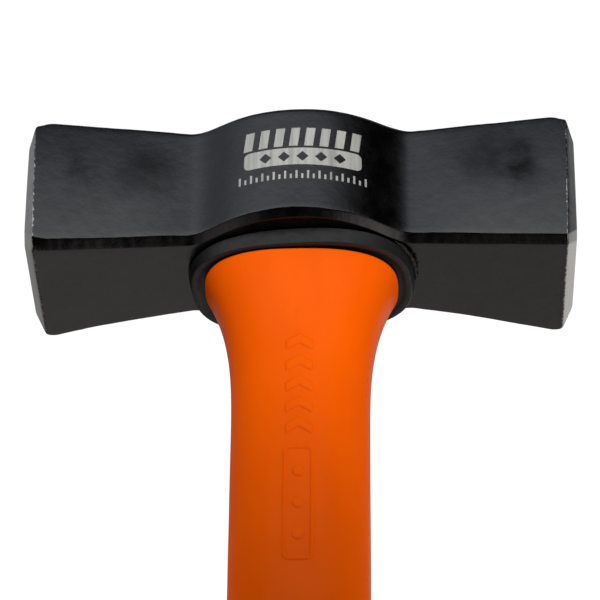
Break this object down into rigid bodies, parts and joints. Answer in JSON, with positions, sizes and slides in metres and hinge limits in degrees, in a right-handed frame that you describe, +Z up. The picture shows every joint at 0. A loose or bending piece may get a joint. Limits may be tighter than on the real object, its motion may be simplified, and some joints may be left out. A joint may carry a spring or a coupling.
{
  "type": "double-faced hand sledge",
  "caption": "Short sledge with a square-faced forged head, oval eye bulge, arched underside, black collar and an orange plastic-jacketed fibre handle with a soft black grip.",
  "frame": {"origin": "middle of the flat top of the head, which the hammer stands on", "axes": "+Z up along the handle towards the butt, X along the head between the two striking faces, -Y out of the cheek that carries the etched panel"},
  "size_m": [0.125, 0.0464, 0.27],
  "materials": {
    "head_steel": "black lacquer over forged steel, ground bright on the striking faces and their bevels",
    "bare_steel": "ground bare steel",
    "resin": "cast dark epoxy resin",
    "fibre_core": "pultruded glass fibre, sawn end",
    "collar_rubber": "satin moulded black",
    "orange_jacket": "satin moulded orange polypropylene",
    "grip_rubber": "matt soft black thermoplastic rubber with moulded ribs"
  },
  "bodies": {
    "root": {"head": "head_steel", "eye_resin": "resin", "core_rod": "fibre_core", "collar": "collar_rubber", "bond_bead": "resin", "handle_jacket": "orange_jacket", "grip": "grip_rubber"}
  },
  "joints": []
}
